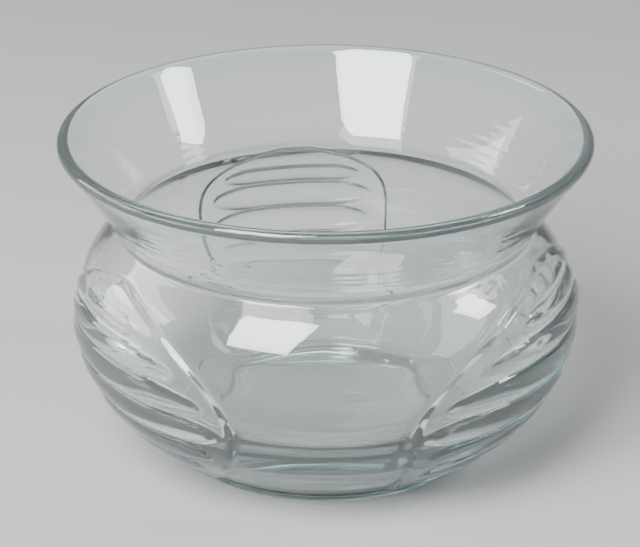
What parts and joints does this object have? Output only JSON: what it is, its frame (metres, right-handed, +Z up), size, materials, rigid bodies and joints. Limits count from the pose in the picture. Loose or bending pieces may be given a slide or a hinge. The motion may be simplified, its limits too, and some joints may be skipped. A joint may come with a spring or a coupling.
{
  "type": "glass bowl",
  "caption": "Clear pressed-glass bowl with a wide flared rim, a narrow neck and a round belly with arched panels of level ribs.",
  "frame": {"origin": "middle of the underside, in the plane of the ring the bowl stands on", "axes": "+Z up along the bowl's axis, -Y towards the front, where a plain part of the wall lies between two ribbed panels"},
  "size_m": [0.2151, 0.2151, 0.1346],
  "materials": {
    "glass": "clear, smooth and fire-polished, faintly blue-green at thick edges"
  },
  "bodies": {
    "root": {"bowl": "glass"}
  },
  "joints": []
}
